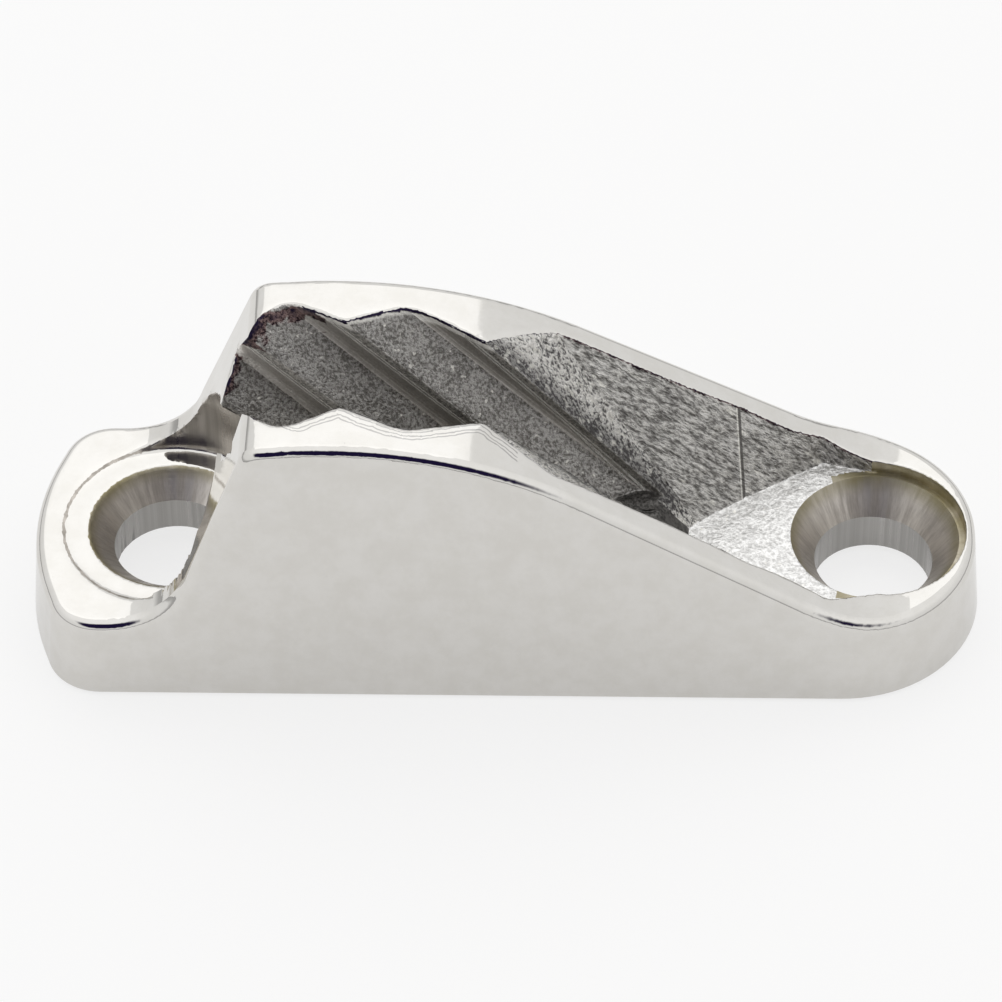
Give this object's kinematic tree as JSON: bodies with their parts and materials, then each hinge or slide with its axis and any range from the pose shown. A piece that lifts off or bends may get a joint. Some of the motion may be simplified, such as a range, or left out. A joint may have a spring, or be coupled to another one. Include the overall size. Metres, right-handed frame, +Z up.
{
  "type": "jam cleat",
  "caption": "Low polished stainless jam cleat: an open V groove with slanted gripping ridges on a flat base, a screw lug at each end and a long ramp to the rear.",
  "frame": {"origin": "middle of the flat base, on its underside", "axes": "+X along the rope groove from the high front end to the low rear end, +Y across the cleat, +Z up out of the deck"},
  "size_m": [0.0666, 0.0206, 0.0225],
  "materials": {
    "stainless": "mirror polished outside, rough as cast in the groove, turned in the countersinks"
  },
  "bodies": {
    "root": {"cleat_body": "stainless"}
  },
  "joints": []
}
